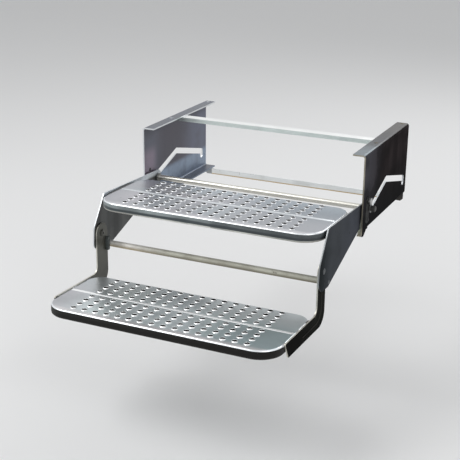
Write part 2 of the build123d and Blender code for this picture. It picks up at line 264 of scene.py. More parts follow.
def dress(piece, node):
    """The piece takes the place of a CAD node: its body and its look."""
    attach(piece, body_of[node])
    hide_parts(node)


def softened(node, edge=0.0004, cuts=()):
    """A copy of a CAD node, merged, its sharp edges broken, and cut where its finish changes."""
    piece = copy_of(frame["nodes"][node], node + "_piece")
    take(piece)
    # Normals kept from the solid would shade the broken edges wrongly
    bpy.ops.mesh.customdata_custom_splitnormals_clear()
    edit(piece)
    bpy.ops.mesh.select_all(action="SELECT")
    bpy.ops.mesh.remove_doubles(threshold=same_vertex)
    bpy.ops.mesh.dissolve_limited(angle_limit=radians(1))
    deselect()
    apply(piece, "BEVEL", width=edge, segments=2, limit_method="ANGLE", angle_limit=radians(40),
          use_clamp_overlap=True)
    smooth(piece)
    edit(piece)
    for place in cuts:
        bpy.ops.mesh.select_all(action="SELECT")
        bpy.ops.mesh.bisect(plane_co=(place, 0, 0), plane_no=(1, 0, 0))
    deselect()
    return piece


def turned(name, rings, place, bored=False, sides=40):
    """A turned piece lying along X, drawn by its rings as (x, radius), solid or bored through."""
    deselect()
    start, radius = rings[0]
    bpy.ops.mesh.primitive_circle_add(vertices=sides, radius=radius, location=(0, 0, start),
                                      fill_type="NOTHING" if bored else "NGON")
    piece = newest(name)
    edit(piece)
    bpy.ops.mesh.select_mode(type="EDGE")
    bpy.ops.mesh.select_all(action="SELECT")
    extrude = bpy.ops.mesh.extrude_edges_move if bored else bpy.ops.mesh.extrude_region_move
    for end, wide in rings[1:] + (rings[:1] if bored else []):
        extrude(TRANSFORM_OT_translate={"value": (0, 0, end - start)})
        grow = wide / radius
        bpy.ops.transform.resize(value=(grow, grow, 1), center_override=(0, 0, end))
        start, radius = end, wide
    bpy.ops.mesh.select_all(action="SELECT")
    bpy.ops.mesh.remove_doubles(threshold=same_ring_vertex)
    outwards()
    deselect()
    moved(piece, turn=(0, radians(90), 0))
    return moved(piece, offset=(0, place.y, place.z))


def both_ends(rings):
    """The rings of a turned piece's right half, after the same on its left."""
    return [(-x, radius) for x, radius in reversed(rings)] + rings


def dressed_round(piece, node, finishes, choose=None):
    """Shades, finishes and dresses a turned piece."""
    smooth(piece, 30)
    paint(piece, finishes, choose)
    dress(piece, node)


# ---------------------------------------------------------------- finishes

def tone(red, green, blue):
    """A colour given on the 0 to 255 scale of the screen, as the shader's numbers."""
    return tuple(((part / 255 + 0.055) / 1.055) ** 2.4 for part in (red, green, blue)) + (1.0,)


class Field:
    """A number or colour that varies over a surface; arithmetic on it adds Math nodes."""

    def __init__(self, shading, socket):
        self.shading = shading
        self.socket = socket

    def maths(self, operation, *values):
        inputs = dict(enumerate(values))
        return self.shading.node("ShaderNodeMath", {"operation": operation}, inputs)

    def __add__(self, other):
        return self.maths("ADD", self, other)

    def __radd__(self, other):
        return self.maths("ADD", other, self)

    def __sub__(self, other):
        return self.maths("SUBTRACT", self, other)

    def __rsub__(self, other):
        return self.maths("SUBTRACT", other, self)

    def __mul__(self, other):
        return self.maths("MULTIPLY", self, other)

    def __rmul__(self, other):
        return self.maths("MULTIPLY", other, self)

    def between(self, lowest, highest):
        """0 at the lowest value, 1 at the highest, and a smooth rise between them."""
        settings = {"interpolation_type": "SMOOTHSTEP", "clamp": True}
        return self.shading.node("ShaderNodeMapRange", settings,
                                 {"Value": self, "From Min": lowest, "From Max": highest})

    def band(self, start, end, blur):
        """1 from the start to the end, fading over the blur outside them."""
        return self.between(start - blur, start) * (1 - self.between(end, end + blur))

    def limited(self):
        return self.shading.node("ShaderNodeClamp", {}, {"Value": self})


class Shading:
    """The nodes of a material or of the world."""

    def __init__(self, owner):
        owner.use_nodes = True
        self.tree = owner.node_tree

    def feed(self, socket, value):
        """Puts a number or colour on a socket, or links a field to it."""
        if isinstance(value, Field):
            self.tree.links.new(value.socket, socket)
        else:
            socket.default_value = value

    def node(self, kind, settings, values, output=0):
        """Any node: its settings first, then its sockets, and the output that is used."""
        node = self.tree.nodes.new(kind)
        for setting, value in settings.items():
            setattr(node, setting, value)
        for socket, value in values.items():
            self.feed(node.inputs[socket], value)
        return Field(self, node.outputs[output])


class Finish(Shading):
    """A material whose shader is fed by procedural nodes on the piece's own coordinates.

    The edge tint is the grey of its reflections at a grazing view, the gloss how strong they are.
    """

    def __init__(self, name, metallic=0.9, roughness=0.4, edge_tint=1.0, gloss=0.5):
        self.material = bpy.data.materials.new(name)
        super().__init__(self.material)
        self.shader = self.tree.nodes["Principled BSDF"]
        self.shader.inputs["Metallic"].default_value = metallic
        self.shader.inputs["Roughness"].default_value = roughness
        self.shader.inputs["Specular IOR Level"].default_value = gloss
        self.shader.inputs["Specular Tint"].default_value = (edge_tint, edge_tint, edge_tint, 1.0)
        self.place = self.node("ShaderNodeTexCoord", {}, {}, "Object")

    def axis(self, name):
        """One coordinate of the piece, in metres."""
        return self.node("ShaderNodeSeparateXYZ", {}, {"Vector": self.place}, name)

    def along(self, name, start, end):
        """0 before the start and 1 beyond the end of a stretch along one axis."""
        return self.axis(name).between(start, end)

    def noise(self, scale, detail=3.0, stretch=(1, 1, 1)):
        """Cloudy variation; a small stretch along an axis draws it out that way."""
        mapped = self.node("ShaderNodeMapping", {"vector_type": "POINT"},
                           {"Vector": self.place, "Scale": stretch})
        return self.node("ShaderNodeTexNoise", {"noise_dimensions": "3D"},
                         {"Vector": mapped, "Scale": scale, "Detail": detail})

    def blend(self, first, second, mask):
        """One colour passing into another by a mask."""
        settings = {"data_type": "RGBA", "blend_type": "MIX", "clamp_factor": True}
        return self.node("ShaderNodeMix", settings, {0: mask, 6: first, 7: second}, 2)

    def shaded(self, colour, level):
        """A colour made lighter or darker by a field round 1."""
        grey = self.node("ShaderNodeCombineColor", {}, {0: level, 1: level, 2: level})
        settings = {"data_type": "RGBA", "blend_type": "MULTIPLY"}
        return self.node("ShaderNodeMix", settings, {0: 1.0, 6: colour, 7: grey}, 2)

    def bumps(self, height, strength, depth=0.0002):
        """Fine relief of the surface, drawn by a field."""
        normal = self.node("ShaderNodeBump", {},
                           {"Height": height, "Strength": strength, "Distance": depth}, "Normal")
        self.feed(self.shader.inputs["Normal"], normal)

    def done(self, colour, roughness):
        """Links the last two fields to the shader and hands over the material."""
        self.feed(self.shader.inputs["Base Color"], colour)
        self.feed(self.shader.inputs["Roughness"], roughness)
        return self.material


along_x = (0.03, 1, 1)
along_y = (1, 0.03, 1)
upright = (1, 1, 0.03)
no_grain = (1, 1, 1)


def zinc(name, colour, dull, grain=no_grain, depth=0.10, patches=0.12, roughness=0.38, metallic=0.9,
         edge_tint=1.0, gloss=0.5, specks=0.35, stain=None, bump=0.15):
    """Galvanised sheet: grain one way, cloudy patches between two tones, and a few stained specks.

    The colour is a tone, or a function that draws the tone from the finish's own coordinates.
    """
    finish = Finish(name, metallic, roughness, edge_tint, gloss)
    cloud = finish.noise(16.0, 4.0)
    brushed = finish.noise(420.0, 2.0, grain)
    broad = finish.noise(60.0, 3.0, grain)
    fine = finish.noise(900.0, 2.0)
    spots = finish.noise(95.0, 5.0).between(0.66, 0.76)
    base = colour(finish) if callable(colour) else colour
    base = finish.blend(base, dull, (cloud.between(0.42, 0.68) * patches * 4).limited())
    base = finish.blend(base, stain or dull, spots * specks)
    level = 1 + (brushed - 0.5) * (depth * 2.4) + (broad - 0.5) * depth + (cloud - 0.5) * patches
    rough = roughness + (brushed - 0.5) * 0.16 + spots * 0.12
    finish.bumps(brushed * 0.7 + fine * 0.3, bump)
    return finish.done(finish.shaded(base, level), rough.limited())


def passing(axis, *stops):
    """Tones that pass into one another along an axis: (place, tone) pairs in rising order."""
    def draw(finish):
        place = finish.axis(axis)
        colour = stops[0][1]
        for (start, first), (end, second) in zip(stops, stops[1:]):
            colour = finish.blend(colour, second, place.between(start, end))
        return colour
    return draw


def left_web_painted_light(finish):
    """The left bracket's web in painted light and shade: reddish low in front, dark in the middle
    and under the flange, bluish below the slot.
    """
    y = finish.axis("Y")
    z = finish.axis("Z")
    base = finish.blend(tone(96, 98, 110), tone(82, 80, 89), y.between(-0.17, -0.10))
    base = finish.blend(base, tone(104, 108, 124), y.between(-0.05, 0.06))
    reddish = y.band(-0.2, -0.165, 0.03) * z.band(-0.15, -0.07, 0.03)
    base = finish.blend(base, tone(134, 124, 138), reddish)
    bluish = z.band(-0.155, -0.120, 0.014) * y.between(-0.15, -0.11)
    base = finish.blend(base, tone(140, 155, 175), bluish)
    return finish.blend(base, tone(76, 77, 86), z.between(-0.030, -0.006))


def right_web_painted_shade(finish):
    """The right bracket's web in painted shade: lighter at the top front, with upright bands of
    painted reflection at the rear, darkest low down.
    """
    bands = finish.noise(26.0, 2.0, (1, 1, 0.08)).between(0.35, 0.65)
    rear = finish.blend(tone(48, 44, 45), tone(58, 53, 54), bands)
    base = finish.blend(tone(80, 79, 84), rear, finish.along("Y", -0.19, -0.06))
    return finish.blend(tone(41, 41, 42), base, finish.along("Z", -0.15, -0.04))


def below_tread(finish, nose, top, pitch):
    """Depth below the plane of a tread's top, which falls to the rear by its pitch."""
    return (top + tan(pitch) * nose) - finish.axis("Z") - finish.axis("Y") * tan(pitch)


def skirt_painted_bands(seat, light, dark, lip, sides):
    """A skirt's bands of painted light and shade: lighter under the bend, dark in the middle and
    towards the right end, and a lighter band along the lip at the bottom.
    """
    def draw(finish):
        below = below_tread(finish, *seat)
        waver = (finish.noise(14.0, 2.0, (1, 1, 0.1)) - 0.5) * 0.004
        shade = finish.blend(light, dark, (below + waver).between(0.0075, 0.0105))
        shade = finish.blend(shade, sides, finish.along("X", -0.16, 0.20) * 0.85)
        return finish.blend(shade, lip, below.between(0.0140, 0.0155))
    return draw


def cheek_left_painted_light(finish):
    """The left cheek's inner face: painted light above the tread, painted shade below it with soft
    upright bands of painted reflection.
    """
    below = below_tread(finish, *upper_seat)
    bands = finish.noise(30.0, 2.0, (1, 1, 0.05)).between(0.35, 0.65)
    lower = finish.blend(tone(54, 56, 56), tone(82, 84, 83), bands)
    return finish.blend(tone(206, 213, 220), lower, below.between(0.008, 0.014))


def left_arm_painted_light(finish):
    """The left arm's inner face: painted light beside the tread, greyer painted shade up the
    upright.
    """
    rising = finish.blend(tone(80, 80, 74), tone(92, 92, 85), finish.along("Z", -0.27, -0.20))
    return finish.blend(tone(204, 204, 198), rising, finish.along("Y", -0.475, -0.440))


def stop_bar_painted_light(finish):
    """The stop bar: painted light along its top, beige below, and painted lighter towards the left.
    """
    painted_top_light = finish.along("Z", stop_bar.z - 0.004, stop_bar.z + 0.003)
    base = finish.blend(tone(146, 138, 118), tone(208, 207, 193), painted_top_light)
    left_end = finish.blend(tone(222, 200, 160), tone(255, 252, 246), painted_top_light)
    return finish.blend(left_end, base, finish.along("X", -0.21, -0.08))


def front_edge_highlight(finish, strip, base, nose):
    """A tread's top with a painted highlight in a strip behind its front edge."""
    return finish.blend(strip, base, finish.along("Y", nose + 0.004, nose + 0.020))


def upper_top_painted_light(finish):
    """The upper tread's top, a little pink and blue by turns, in painted shade deeper towards its
    right end, with a painted highlight behind its front edge.
    """
    tint = finish.noise(9.0, 2.0, (0.6, 1, 1)).between(0.4, 0.6)
    base = finish.blend(tone(181, 188, 193), tone(187, 186, 191), tint)
    right_front_shade = finish.blend(tone(166, 168, 173), tone(133, 142, 151),
                               finish.along("Y", -0.38, -0.24))
    base = finish.blend(base, right_front_shade, finish.along("X", -0.10, 0.16))
    base = finish.blend(base, tone(172, 180, 188), finish.along("Y", -0.30, -0.23) * 0.6)
    return front_edge_highlight(finish, tone(210, 209, 212), base, upper_nose)


def lower_top_painted_light(finish):
    """The lower tread's top in painted light and shade, from a warm grey at the left to a greenish
    shade at the right front, with a painted highlight behind its front edge.
    """
    tint = finish.noise(9.0, 2.0, (0.6, 1, 1)).between(0.4, 0.6)
    base = finish.blend(tone(224, 232, 234), tone(214, 226, 226), tint)
    base = finish.blend(tone(188, 188, 192), base, finish.along("X", -0.23, -0.12))
    right_front_shade = finish.blend(tone(166, 181, 184), tone(190, 197, 199),
                               finish.along("Y", -0.53, -0.46))
    base = finish.blend(base, right_front_shade, finish.along("X", 0.02, 0.17))
    base = finish.blend(base, tone(194, 200, 203), finish.along("Y", -0.53, -0.43) * 0.85)
    return front_edge_highlight(finish, tone(224, 221, 222), base, lower_nose)


dull_zinc = tone(96, 98, 98)
dark_zinc = tone(30, 30, 30)
black_zinc = tone(20, 20, 20)
rust = tone(104, 86, 66)

# Cut edges in copies lighter and darker by how light falls on them: the bright one is painted
# highlight, the grey and beige ones painted shade
cut_edge = zinc("cut_edge_painted_highlight", tone(224, 227, 230), tone(170, 172, 172), roughness=0.32,
                patches=0.06)
cut_grey = zinc("cut_edge_grey", tone(158, 161, 163), tone(104, 105, 106), roughness=0.35,
                patches=0.1)
cut_light = zinc("arm_edge_zinc", tone(208, 206, 196), tone(150, 146, 136), roughness=0.36,
                 patches=0.12)
cut_beige = zinc("cut_edge_beige_painted_shade", tone(178, 172, 157), tone(120, 114, 102), roughness=0.4,
                 patches=0.16)
flange_left = zinc("left_flange_zinc", tone(98, 102, 113), dull_zinc, along_y, metallic=0.7)
# The right flange's top: painted light at the front, passing to painted shade in the middle and at
# the rear
flange_right = zinc("right_flange_painted_light_and_shade_zinc",
                    passing("Y", (-0.17, tone(132, 140, 146)), (-0.07, tone(90, 90, 93)),
                            (0.07, tone(99, 96, 95))),
                    tone(70, 70, 70), along_y, metallic=0.4, edge_tint=0.6)
# The left web's colour is painted light and shade
web_left = zinc("left_web_painted_light_zinc", left_web_painted_light, tone(78, 78, 86), upright, metallic=0.7)
# The right web is painted dark as shade, and kept from reflecting much
web_right = zinc("right_web_painted_shade_zinc", right_web_painted_shade, dark_zinc, upright, metallic=0.2, edge_tint=0.3,
                 gloss=0.0, roughness=0.5)
# The top bar's sides that look up are painted lighter than its upright leg, as light and shade
lit_bar_top = zinc("top_bar_painted_light_zinc", tone(240, 241, 240), tone(205, 207, 206), along_x, patches=0.06)
bar_leg = zinc("top_bar_leg_painted_shade_zinc", tone(226, 236, 232), tone(190, 198, 196), along_x, patches=0.08)
rear_bar_foot = low("rear_cross_bar").z
rear_bar_zinc = zinc("rear_bar_zinc",
                     passing("Z", (rear_bar_foot + 0.0014, tone(196, 168, 122)),
                             (rear_bar_foot + 0.0034, tone(238, 241, 241))),
                     tone(196, 198, 196), along_x, patches=0.1, stain=rust)
# Painted shadow on the rear bar's right ear
bar_end_shadow = zinc("bar_end_painted_shadow", tone(60, 58, 56), dark_zinc, along_x, metallic=0.4, edge_tint=0.4)
bar_tan = zinc("rear_bar_edge_zinc", tone(206, 186, 150), tone(140, 118, 88), along_x, metallic=0.4)
shaft_zinc = zinc("shaft_zinc", tone(212, 210, 202), tone(160, 158, 150), along_x, depth=0.02,
                  patches=0.05, roughness=0.3, specks=0.04, bump=0.004)
# Painted shade on the shaft's ends outside the brackets
shaft_end_painted_shade = zinc("shaft_end_painted_shade", tone(88, 87, 86), tone(50, 50, 48), metallic=0.6,
                      edge_tint=0.5, roughness=0.36)
# The stop bar's own beige, with painted light along its top and towards the left
stop_zinc = zinc("stop_bar_zinc_and_painted_light", stop_bar_painted_light, tone(140, 134, 120), along_x, patches=0.14,
                 roughness=0.52, metallic=0.2, edge_tint=0.8, specks=0.8, stain=tone(84, 74, 58),
                 bump=0.04)
# The right cheek is painted dark as shade, darkest at the front, and kept from reflecting much
cheek_right = zinc("right_cheek_painted_shade_zinc",
                   passing("Y", (-0.43, tone(48, 53, 54)), (-0.35, tone(79, 82, 86)),
                           (-0.20, tone(84, 87, 94))),
                   dark_zinc, upright, depth=0.08, patches=0.05, metallic=0.25, edge_tint=0.3,
                   gloss=0.0, roughness=0.5)
# The left cheek's inner face in painted light above the tread and painted shade below it
cheek_left = zinc("left_cheek_painted_light_zinc", cheek_left_painted_light, dark_zinc, upright, metallic=0.6)
# The right arm is painted dark as shade, darkest towards the front; its groove slopes in a lighter
# painted shade
arm_right = zinc("right_arm_painted_shade_zinc",
                 passing("Y", (-0.52, tone(32, 32, 31)), (-0.42, tone(44, 45, 42))),
                 dark_zinc, upright, metallic=0.2, edge_tint=0.25, gloss=0.0, roughness=0.5)
groove_zinc = zinc("groove_zinc", tone(74, 73, 68), dark_zinc, metallic=0.5, edge_tint=0.4,
                   gloss=0.1)
# The left arm's inner face in painted light beside the tread and painted shade up the upright
arm_left = zinc("left_arm_painted_light_zinc", left_arm_painted_light, tone(58, 58, 55), upright, metallic=0.6)
arm_left_outer = zinc("left_arm_outer_zinc", tone(88, 88, 82), tone(58, 58, 55), upright,
                      metallic=0.6)
outer_zinc = zinc("left_outer_zinc", tone(92, 93, 96), tone(74, 75, 78), upright, metallic=0.6)
fasteners = zinc("fastener_zinc", tone(120, 121, 120), tone(76, 76, 74), roughness=0.36,
                 metallic=0.8)
# Bolt heads lighter than the washers, for their plating and a painted glint
bolt_zinc = zinc("bolt_head_zinc_and_glint", tone(176, 177, 176), tone(110, 110, 108), roughness=0.28)
rivet_end_zinc = zinc("rivet_end_zinc", tone(104, 107, 110), tone(66, 68, 70), metallic=0.4,
                      edge_tint=0.5, gloss=0.2)
dark_fasteners = zinc("shaded_fastener_zinc", tone(64, 64, 65), tone(40, 40, 40), roughness=0.38,
                      metallic=0.5, edge_tint=0.4, gloss=0.1)
# The right clamp strap is painted dark as shade
right_strap_shade = zinc("clamp_strap_painted_shade", tone(46, 45, 45), tone(40, 40, 40), upright,
                        roughness=0.42, metallic=0.3, edge_tint=0.35, gloss=0.05)
block_zinc = zinc("stop_block_zinc", tone(96, 102, 101), dark_zinc, roughness=0.5, metallic=0.2,
                  edge_tint=0.5)
weld_metal = zinc("weld_metal", tone(186, 188, 190), tone(84, 84, 84), patches=0.4, roughness=0.36)
# The tread tops' colours carry painted light and shade over the zinc's own patches and grain
tread_upper = zinc("upper_tread_zinc_and_painted_light", upper_top_painted_light, tone(140, 146, 150), along_x, depth=0.05,
                   patches=0.07, roughness=0.36)
tread_lower = zinc("lower_tread_zinc_and_painted_light", lower_top_painted_light, tone(132, 138, 140), along_x, depth=0.05,
                   patches=0.07, roughness=0.36)
# Painted highlight on the front slopes of the hole rims, brighter on the lower tread
rim_upper_highlight = zinc("upper_rim_painted_highlight", tone(216, 217, 219), tone(186, 188, 190), roughness=0.32,
                 patches=0.05)
rim_lower_highlight = zinc("lower_rim_painted_highlight", tone(244, 245, 245), tone(208, 210, 210), roughness=0.3,
                 patches=0.05)
# Painted highlight along the bead, brighter on the lower tread
bead_upper_highlight = zinc("upper_bead_painted_highlight", tone(220, 224, 227), tone(180, 184, 187), along_x,
                  roughness=0.32, patches=0.05)
bead_lower_highlight = zinc("lower_bead_painted_highlight", tone(252, 253, 253), tone(222, 225, 225), along_x,
                  roughness=0.3, patches=0.05)
# Painted shade on the walls of the holes and in the pivot heads' dimples
hole_wall = zinc("hole_wall_painted_shade", tone(24, 22, 20), black_zinc, metallic=0.1, edge_tint=0.2,
                 gloss=0.0, roughness=0.6)
# Painted highlight along the treads' rolled edges
bend_zinc = zinc("tread_bend_painted_highlight", tone(238, 241, 244), tone(198, 202, 204), along_x, patches=0.08,
                 roughness=0.3)
# The skirts in painted bands of light and shade, the lower one nearly all in shade
skirt_upper = zinc("upper_skirt_painted_bands_zinc",
                   skirt_painted_bands(upper_seat, tone(158, 167, 168), tone(76, 84, 87),
                               tone(206, 205, 198), tone(66, 70, 73)),
                   tone(60, 64, 66), along_x, depth=0.2, metallic=0.6)
skirt_lower = zinc("lower_skirt_painted_shade_zinc",
                   skirt_painted_bands(lower_seat, tone(40, 40, 38), tone(30, 30, 28), tone(42, 41, 38),
                               tone(28, 26, 24)),
                   dark_zinc, along_x, depth=0.2, metallic=0.3, edge_tint=0.4, roughness=0.5)
# The upper tread's lip in painted light fading to the right, the lower one's in painted shade
lip_zinc = zinc("upper_lip_painted_light_zinc",
                passing("X", (-0.15, tone(236, 236, 232)), (0.20, tone(160, 154, 138))),
                tone(128, 126, 118), along_x, roughness=0.34)
lip_dark = zinc("lower_lip_painted_shade_zinc", tone(66, 65, 62), tone(40, 40, 38), along_x, roughness=0.4,
                metallic=0.4, edge_tint=0.4)


def plastic(name, clean, yellowed):
    """Off-white moulded plastic, a little yellowed, and brown with dirt round its foot."""
    finish = Finish(name, 0.0, 0.5, gloss=0.4)
    cloud = finish.noise(60.0, 3.0)
    grain = finish.noise(1400.0, 2.0)
    colour = finish.blend(clean, yellowed, cloud.between(0.45, 0.75))
    low_down = 1 - finish.along("Z", bracket_bottom - 0.009, bracket_bottom + 0.004)
    colour = finish.blend(colour, tone(92, 66, 44), low_down * 0.7)
    finish.bumps(grain, 0.1)
    return finish.done(colour, 0.45 + cloud * 0.15)


left_plastic = plastic("left_glide_plastic", tone(206, 204, 196), tone(170, 164, 148))
# The right glide is a darker, greener copy of the left one's plastic, as painted shade
right_plastic = plastic("right_glide_plastic_painted_shade", tone(184, 192, 180), tone(140, 142, 124))


# ---------------------------------------------------------------- treads

def bisect_top(place, direction, near=None):
    """Cuts the flat top of the edited tread along a line."""
    select("FACE", lambda face: face.normal.z > level_face and (near is None or near(middle(face))))
    bpy.ops.mesh.bisect(plane_co=place, plane_no=direction)


def hole_cell():
    """One hole with its raised rim, in its square of the tread's top."""
    deselect()
    bpy.ops.mesh.primitive_plane_add(size=2 * cell_half)
    cell = newest("hole_cell")
    edit(cell)
    bpy.ops.mesh.delete(type="ONLY_FACE")
    bpy.ops.mesh.primitive_circle_add(vertices=rim_sides, radius=rim_rings[0][0])
    bpy.ops.mesh.select_mode(type="EDGE")
    bpy.ops.mesh.select_all(action="SELECT")
    bpy.ops.mesh.bridge_edge_loops()
    radius, height = rim_rings[0]
    for wide, tall in rim_rings[1:]:
        select("EDGE", lambda edge: all(abs(v.co.xy.length - radius) < hair for v in edge.verts))
        bpy.ops.mesh.extrude_edges_move(TRANSFORM_OT_translate={"value": (0, 0, tall - height)})
        grow = wide / radius
        bpy.ops.transform.resize(value=(grow, grow, 1), center_override=(0, 0, tall))
        radius, height = wide, tall
    deselect()
    return cell


def hole_centres():
    """Places of the columns along X and of the rows along Y, measured on the tread."""
    columns = [(column - (hole_columns - 1) / 2) * column_pitch for column in range(hole_columns)]
    rows = [first_row + band * band_step + row * row_pitch
            for band in range(2) for row in range(hole_rows)]
    return columns, rows


def pressed_tread(name):
    """The tread as a pressing: rolled edge, turned-in skirt, bead and two bands of rimmed holes."""
    deselect()
    bpy.ops.mesh.primitive_cube_add(size=1, location=(0, tread_depth / 2, -skirt_height / 2),
                                    scale=(tread_width, tread_depth, skirt_height))
    tread = newest(name)
    edit(tread)
    for radius, segments, near in ((front_corner, 14, 0.0), (rear_corner, 10, tread_depth)):
        select("EDGE", lambda edge: abs(edge.verts[0].co.z - edge.verts[1].co.z) > skirt_height / 2
               and abs(middle(edge).y - near) < hair)
        bpy.ops.mesh.bevel(offset=radius, segments=segments, affect="EDGES", clamp_overlap=False)
    select("EDGE", lambda edge: all(v.co.z > -hair for v in edge.verts))
    bpy.ops.mesh.bevel(offset=edge_roll, segments=4, affect="EDGES", clamp_overlap=False)
    select("EDGE", lambda edge: all(v.co.z < hair - skirt_height for v in edge.verts))
    bpy.ops.mesh.bevel(offset=lip_roll, segments=3, affect="EDGES", clamp_overlap=False)
    select("FACE", lambda face: face.normal.z < -level_face)
    bpy.ops.mesh.inset(thickness=lip_width - lip_roll, depth=0)
    bpy.ops.mesh.delete(type="FACE")

    columns, rows = hole_centres()
    for x in columns:
        for side in (-cell_half, cell_half):
            bisect_top((x + side, 0, 0), (1, 0, 0))
    for y in rows:
        for side in (-cell_half, cell_half):
            bisect_top((0, y + side, 0), (0, 1, 0))
    for offset, _ in bead_lines:
        bisect_top((0, bead_place + offset, 0), (0, 1, 0))
    for side in (-1, 1):
        bisect_top((side * (tread_width / 2 - bead_end), 0, 0), (1, 0, 0),
                   lambda place: abs(place.y - bead_place) < bead_reach)
    select("FACE", lambda face: face.normal.z > level_face
           and any(abs(middle(face).x - x) < cell_half / 2 for x in columns)
           and any(abs(middle(face).y - y) < cell_half / 2 for y in rows))
    bpy.ops.mesh.delete(type="FACE")

    cell = moved(hole_cell(), offset=(columns[0], rows[0], 0))
    apply(cell, "ARRAY", count=hole_columns, use_relative_offset=False, use_constant_offset=True,
          constant_offset_displace=(column_pitch, 0, 0))
    apply(cell, "ARRAY", count=hole_rows, use_relative_offset=False, use_constant_offset=True,
          constant_offset_displace=(0, row_pitch, 0))
    rear_band = moved(copy_of(cell, "rear_band"), offset=(0, band_step, 0))
    join(tread, cell, rear_band)

    edit(tread)
    bpy.ops.mesh.select_all(action="SELECT")
    bpy.ops.mesh.remove_doubles(threshold=same_tread_vertex)
    for offset, height in bead_lines:
        select("VERT", lambda vert: abs(vert.co.y - bead_place - offset) < hair
               and vert.co.z > -hair and abs(vert.co.x) < tread_width / 2 - bead_end + hair)
        bpy.ops.transform.translate(value=(0, 0, height))
    outwards()
    deselect()
    return tread


wall_steepness = 0.3
wall_depth = 0.0012
raised = 0.0001
bead_half_width = 0.0041
rim_lean = 0.12
bend_start = 0.0002
bend_end = edge_roll * 0.75
lip_top = 0.0012 - skirt_height


def tread_zone(place, normal):
    """Finish 0 top, 1 front of a rim, 2 bead, 3 bend, these three in painted highlight, 4 skirt, 5
    lip, 6 wall of a hole in painted shade.
    """
    if abs(normal.z) < wall_steepness and place.z > -wall_depth:
        return 6
    if place.z > raised:
        if abs(place.y - bead_place) < bead_half_width:
            return 2
        return 1 if normal.y < -rim_lean else 0
    if place.z > -bend_start:
        return 0
    if place.z > -bend_end:
        return 3
    return 4 if place.z > lip_top else 5


def placed_tread(tread, finishes, nose, top, pitch):
    """Finishes a copy of the pressing, gives it its wall, and sets it down."""
    paint(tread, finishes + [hole_wall], tread_zone)
    apply(tread, "SOLIDIFY", thickness=tread_sheet, offset=-1, use_even_offset=False)
    smooth(tread, 40)
    moved(tread, turn=(-pitch, 0, 0))
    moved(tread, offset=(0, nose, top))
    return tread


upper_pressing = pressed_tread("upper_tread_pressing")
lower_pressing = copy_of(upper_pressing, "lower_tread_pressing")
upper_finishes = [tread_upper, rim_upper_highlight, bead_upper_highlight, bend_zinc, skirt_upper, lip_zinc]
lower_finishes = [tread_lower, rim_lower_highlight, bead_lower_highlight, bend_zinc, skirt_lower, lip_dark]
dress(placed_tread(upper_pressing, upper_finishes, *upper_seat), "upper_tread")
dress(placed_tread(lower_pressing, lower_finishes, *lower_seat), "lower_tread")


# ---------------------------------------------------------------- welds

def weld_seam(name, length, width, height, step=0.004, cut=0.4):
    """A seam along Y from the origin: overlapping round ripples, cut flat below."""
    deselect()
    bpy.ops.mesh.primitive_uv_sphere_add(segments=10, ring_count=6, radius=1)
    ripple = newest(name)
    edit(ripple)
    bpy.ops.mesh.select_all(action="SELECT")
    bpy.ops.mesh.bisect(plane_co=(0, 0, -cut), plane_no=(0, 0, 1), clear_inner=True, use_fill=True)
    deselect()
    moved(ripple, stretch=(width / 2, step, height))
    apply(ripple, "ARRAY", count=max(2, round(length / step)), use_relative_offset=False,
          use_constant_offset=True, constant_offset_displace=(0, step, 0))
    return ripple


def welds(name, body, places, length, width, height):
    """Seams at these places on the right and, mirrored, on the left, in one piece."""
    seam = weld_seam(name, length, width, height)
    copies = [moved(copy_of(seam, f"{name}_{number}"), offset=place)
              for number, place in enumerate(places[1:])]
    moved(seam, offset=places[0])
    if copies:
        join(seam, *copies)
    seam = both_hands(seam)
    take(seam)
    bpy.ops.object.shade_smooth_by_angle(angle=radians(50))
    paint(seam, [weld_metal])
    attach(seam, body)


def on_tread(y, nose, top, pitch):
    """Height of a tread's top at a place along Y."""
    return top - tan(pitch) * (y - nose)


# One long seam a side on the upper tread, three short ones on the lower tread
upper_weld_start = upper_nose + 0.058
upper_weld_middle = upper_weld_start + 0.04
upper_weld_inset = 0.0022
upper_weld_place = (cheek_inside - upper_weld_inset, upper_weld_start,
                    on_tread(upper_weld_middle, *upper_seat) - upper_weld_inset)
welds("upper_tread_welds", "upper_step", [upper_weld_place],
      length=0.084, width=0.0052, height=0.0026)
lower_weld_starts = (-0.571, -0.507, -0.457)
lower_weld_inset = 0.0016
lower_weld_sink = 0.0020
lower_weld_places = [(arm_inside - lower_weld_inset, y, on_tread(y, *lower_seat) - lower_weld_sink)
                     for y in lower_weld_starts]
welds("lower_tread_welds", "lower_step", lower_weld_places,
      length=0.012, width=0.0058, height=0.0028)


# ---------------------------------------------------------------- sheet pieces

hole_wall_depth = 0.0031
hole_wall_inset = 0.004
flange_face_depth = 0.0045
flange_bend_depth = 0.0065
slot_front = web_front + 0.020
slot_rear = web_rear - 0.015
slot_foot = bracket_bottom + 0.010
slot_head = -0.010
groove_line = [(pivot.y, pivot.z - 0.040), (pivot.y, arm_foot + 0.0165),
               (pivot.y - 0.092, arm_foot + 0.0185)]
groove_half_width = 0.010
cheek_edge_in_shadow = -0.200
ear_cut = 0.2295
ear_start = 0.229
looks_up = 0.3


def plate_zone(place, normal):
    """Finish 0 flat sides, 1 cut edge."""
    return 0 if abs(normal.x) > facing else 1


def at_flange(z, depth):
    """Whether a height is within this depth of a bracket's top or bottom face."""
    return z > -depth or z < bracket_bottom + depth


